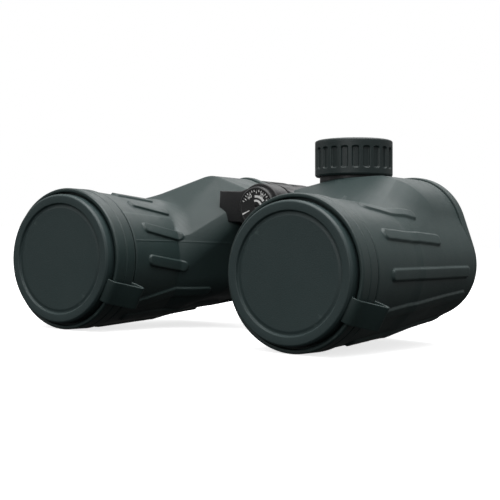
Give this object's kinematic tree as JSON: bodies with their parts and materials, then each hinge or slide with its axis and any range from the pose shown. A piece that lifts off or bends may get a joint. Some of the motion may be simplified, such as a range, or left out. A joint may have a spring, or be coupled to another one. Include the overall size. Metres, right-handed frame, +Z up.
{
  "type": "porro prism binoculars",
  "caption": "Armoured porro prism binoculars with individual focus, a folding hinge, tethered objective caps and a compass on one barrel.",
  "frame": {"origin": "bottom centre of the bounding box, level with the lowest point of the two guard rings", "axes": "+X towards the user's left barrel, across the width; -Y the way the objectives look, +Y towards the eyepieces; +Z up"},
  "size_m": [0.1984, 0.172, 0.0955],
  "materials": {
    "green_rubber": "matte moulded rubber, dark green",
    "ribbed_rubber": "matte ribbed rubber",
    "black_rubber": "matte soft rubber",
    "cast_alloy": "black crinkle paint on die-cast alloy",
    "cell_alloy": "matte black anodised",
    "spring_steel": "rolled spring steel",
    "steel": "bright steel",
    "bronze": "sintered bronze",
    "optical_glass": "polished optical glass",
    "coated_glass": "polished glass with a violet-green coating",
    "dial_plastic": "black plastic with a printed scale",
    "black_plastic": "matte black plastic",
    "clear_plastic": "clear acrylic capsule",
    "white_plastic": "white plastic card",
    "board": "green circuit board"
  },
  "bodies": {
    "left_body": {"left_chassis": "cast_alloy", "left_armour": "green_rubber", "left_guard_ring": "green_rubber", "left_cap_strap": "green_rubber", "left_objective_cell": "cell_alloy", "left_crown_lens": "coated_glass", "left_flint_lens": "optical_glass", "left_lens_retainer": "cell_alloy", "left_objective_seal": "black_rubber", "left_front_prism": "optical_glass", "left_rear_prism": "optical_glass", "left_prism_shelf": "cell_alloy", "left_prism_clips": "spring_steel", "left_rear_cover": "green_rubber", "left_cover_gasket": "black_rubber", "left_cover_screws": "steel", "left_eyepiece_tube": "cell_alloy", "left_reticle": "optical_glass", "hinge_bushes": "bronze", "hinge_washer": "steel", "compass_housing": "black_plastic", "compass_capsule": "clear_plastic", "compass_pivot": "steel", "lamp_board": "board", "lamp_battery": "steel"},
    "right_body": {"right_chassis": "cast_alloy", "right_armour": "green_rubber", "right_guard_ring": "green_rubber", "right_cap_strap": "green_rubber", "right_objective_cell": "cell_alloy", "right_crown_lens": "coated_glass", "right_flint_lens": "optical_glass", "right_lens_retainer": "cell_alloy", "right_objective_seal": "black_rubber", "right_front_prism": "optical_glass", "right_rear_prism": "optical_glass", "right_prism_shelf": "cell_alloy", "right_prism_clips": "spring_steel", "right_rear_cover": "green_rubber", "right_cover_gasket": "black_rubber", "right_cover_screws": "steel", "right_eyepiece_tube": "cell_alloy", "hinge_axle": "steel", "hinge_dial": "dial_plastic", "hinge_nut": "steel"},
    "left_cap": {"left_objective_cap": "green_rubber"},
    "right_cap": {"right_objective_cap": "green_rubber"},
    "left_focus": {"left_focus_ring": "ribbed_rubber"},
    "right_focus": {"right_focus_ring": "ribbed_rubber"},
    "left_ocular": {"left_ocular_cell": "cell_alloy", "left_field_lens": "optical_glass", "left_eye_lens": "coated_glass", "left_eyecup": "black_rubber"},
    "right_ocular": {"right_ocular_cell": "cell_alloy", "right_field_lens": "optical_glass", "right_eye_lens": "coated_glass", "right_eyecup": "black_rubber"},
    "card": {"compass_card": "white_plastic"},
    "compass_top": {"compass_cap": "green_rubber"},
    "button": {"lamp_button": "black_rubber"}
  },
  "joints": [
    {"name": "eyepiece_spacing", "type": "hinge", "parent": "left_body", "child": "right_body", "pos_m": [-0.0027, 0.004, 0.061], "axis": [0, 1, 0], "range_deg": [-54, 22]},
    {"name": "left_cap_flip", "type": "hinge", "parent": "left_body", "child": "left_cap", "pos_m": [0.08908, -0.0832, 0.01981], "axis": [0.4226, 0, 0.9063], "range_deg": [0, 150], "deforming": ["left_cap_strap"]},
    {"name": "right_cap_flip", "type": "hinge", "parent": "right_body", "child": "right_cap", "pos_m": [-0.03792, -0.0832, 0.01981], "axis": [0.4226, 0, 0.9063], "range_deg": [0, 150], "deforming": ["right_cap_strap"]},
    {"name": "left_focus_turn", "type": "hinge", "parent": "left_body", "child": "left_focus", "pos_m": [0.0323, 0.044, 0.054], "axis": [0, 1, 0], "range_deg": [-150, 150]},
    {"name": "left_ocular_slide", "type": "slide", "parent": "left_body", "child": "left_ocular", "axis": [0, 1, 0], "range_m": [-0.003, 0.003]},
    {"name": "right_focus_turn", "type": "hinge", "parent": "right_body", "child": "right_focus", "pos_m": [-0.0377, 0.044, 0.054], "axis": [0, 1, 0], "range_deg": [-150, 150]},
    {"name": "right_ocular_slide", "type": "slide", "parent": "right_body", "child": "right_ocular", "axis": [0, 1, 0], "range_m": [-0.003, 0.003]},
    {"name": "compass_card_turn", "type": "hinge", "parent": "left_body", "child": "card", "pos_m": [0.0353, 0.0078, 0.0773], "axis": [-0.0506, 0, 0.9987], "continuous": true},
    {"name": "compass_top_turn", "type": "hinge", "parent": "left_body", "child": "compass_top", "pos_m": [0.0353, 0.0078, 0.0773], "axis": [-0.0506, 0, 0.9987], "range_deg": [0, 90]},
    {"name": "lamp_press", "type": "slide", "parent": "compass_top", "child": "button", "axis": [0.0506, 0, -0.9987], "range_m": [0, 0.0012], "stiffness_N_per_m": 400}
  ],
  "couplings": [
    {"joint": "left_ocular_slide", "follows": "left_focus_turn", "m_per_rad": 0.0011459},
    {"joint": "right_ocular_slide", "follows": "right_focus_turn", "m_per_rad": 0.0011459}
  ]
}
